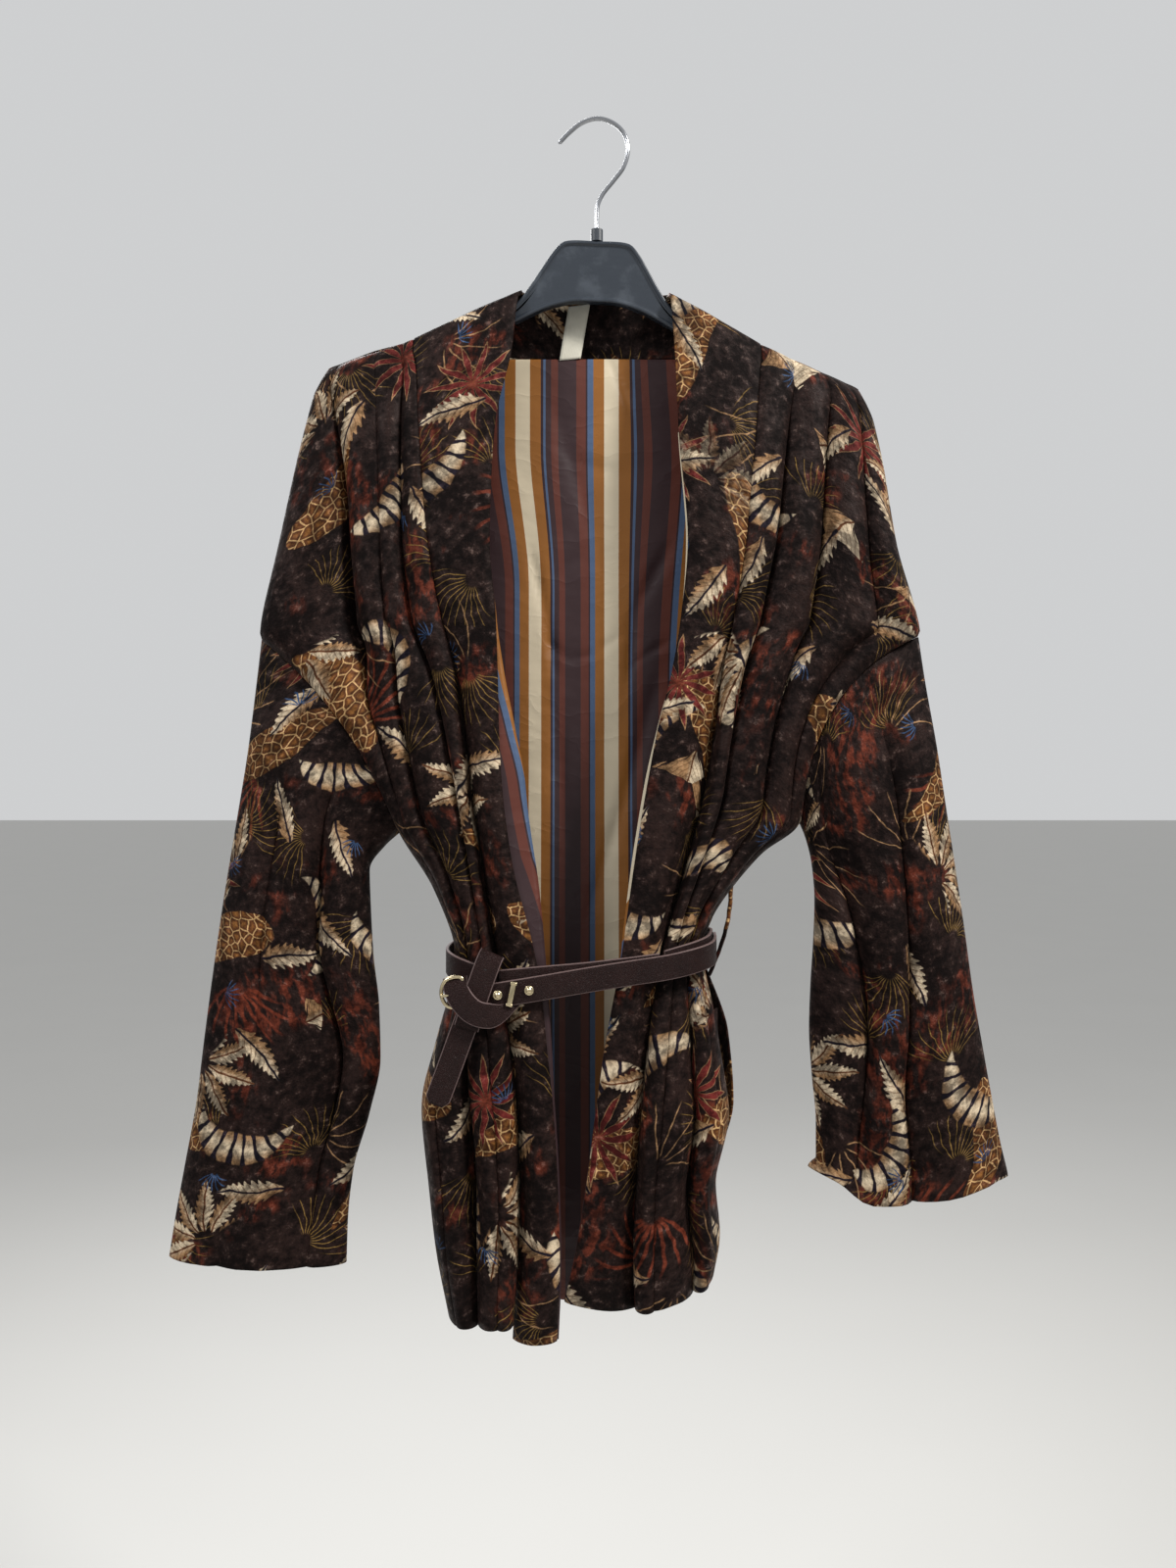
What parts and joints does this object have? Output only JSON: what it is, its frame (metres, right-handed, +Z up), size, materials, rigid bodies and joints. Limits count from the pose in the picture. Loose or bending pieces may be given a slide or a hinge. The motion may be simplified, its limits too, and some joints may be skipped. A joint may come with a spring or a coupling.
{
  "type": "kimono robe on a hanger",
  "caption": "Velvet kimono robe with drop shoulders, wide collar band, striped lining and knotted leather belt, hanging on a plastic hanger with a swivel hook.",
  "frame": {"origin": "inner top of the hanger's hook, the point that hangs on a peg", "axes": "+Z up, the robe's front faces -Y, the wearer's left side is at +X"},
  "size_m": [0.6176, 0.0951, 0.881],
  "materials": {
    "velvet": "crushed velvet, dark brown with a printed pattern",
    "satin": "striped satin lining",
    "cotton": "off-white woven tape",
    "leather": "pebbled dark plum brown",
    "brass": "polished pale gold",
    "chrome": "polished",
    "plastic": "blue-black, semi-gloss"
  },
  "bodies": {
    "root": {"front_right": "velvet", "front_left": "velvet", "back": "velvet", "sleeve_right": "velvet", "sleeve_left": "velvet", "band_right": "velvet", "band_left": "velvet", "band_neck": "velvet", "lining_back": "satin", "lining_front_right": "satin", "lining_front_left": "satin", "neck_tape": "cotton", "pocket_left": "velvet", "belt_loop_left": "velvet", "belt_round": "leather", "belt_under": "leather", "belt_over": "leather", "belt_knot": "leather", "belt_tail": "leather", "buckle_frame": "brass", "buckle_prong": "brass", "belt_keeper": "brass", "belt_stud_right": "brass", "belt_stud_left": "brass", "hanger_body": "plastic", "hanger_ferrule": "plastic", "hanger_hook": "chrome"}
  },
  "joints": []
}
